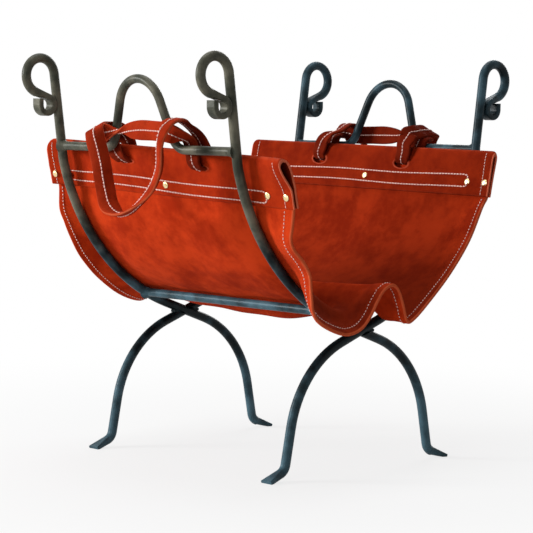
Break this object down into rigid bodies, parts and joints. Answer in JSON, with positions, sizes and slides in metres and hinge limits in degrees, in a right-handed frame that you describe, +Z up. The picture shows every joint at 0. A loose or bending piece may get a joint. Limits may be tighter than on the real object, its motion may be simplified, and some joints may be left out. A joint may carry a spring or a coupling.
{
  "type": "log rack with carrier",
  "caption": "Hearth log rack of forged round bar with scrolled uprights, crossing legs and looped top rails, holding a lift-out suede log carrier with riveted bands and strap handles.",
  "frame": {"origin": "on the floor under the middle of the rack", "axes": "+X along the logs, +Y across the rack towards its far side, +Z up"},
  "size_m": [0.4716, 0.5472, 0.5138],
  "materials": {
    "forged_bar": "blackened, with a brown patina",
    "weld": "blackened",
    "suede": "rust-red suede, napped",
    "band_leather": "rust-red suede, napped",
    "strap": "rust-red suede, doubled and sewn",
    "brass": "polished"
  },
  "bodies": {
    "rack": {"left_near_bar": "forged_bar", "left_far_bar": "forged_bar", "right_near_bar": "forged_bar", "right_far_bar": "forged_bar", "near_top_rail": "forged_bar", "near_bottom_rail": "forged_bar", "far_top_rail": "forged_bar", "far_bottom_rail": "forged_bar", "left_crossing_weld": "weld", "right_crossing_weld": "weld", "near_top_rail_welds": "weld", "near_bottom_rail_welds": "weld", "far_top_rail_welds": "weld", "far_bottom_rail_welds": "weld"},
    "carrier": {"suede_sling": "suede", "near_top_band": "band_leather", "far_top_band": "band_leather", "near_rivet_caps": "brass", "near_rivet_posts": "brass", "far_rivet_caps": "brass", "far_rivet_posts": "brass", "near_strap_root": "strap", "far_strap_root": "strap"},
    "near_handle": {"near_handle_grip": "strap"},
    "far_handle": {"far_handle_grip": "strap"}
  },
  "joints": [
    {"name": "carrier_lift", "type": "slide", "parent": "rack", "child": "carrier", "axis": [0, 0, 1], "range_m": [0, 0.4]},
    {"name": "near_handle_swing", "type": "hinge", "parent": "carrier", "child": "near_handle", "pos_m": [0, -0.24566, 0.4339], "axis": [-1, 0, 0], "range_deg": [0, 165]},
    {"name": "far_handle_swing", "type": "hinge", "parent": "carrier", "child": "far_handle", "pos_m": [0, 0.24566, 0.4339], "axis": [1, 0, 0], "range_deg": [0, 165]}
  ]
}
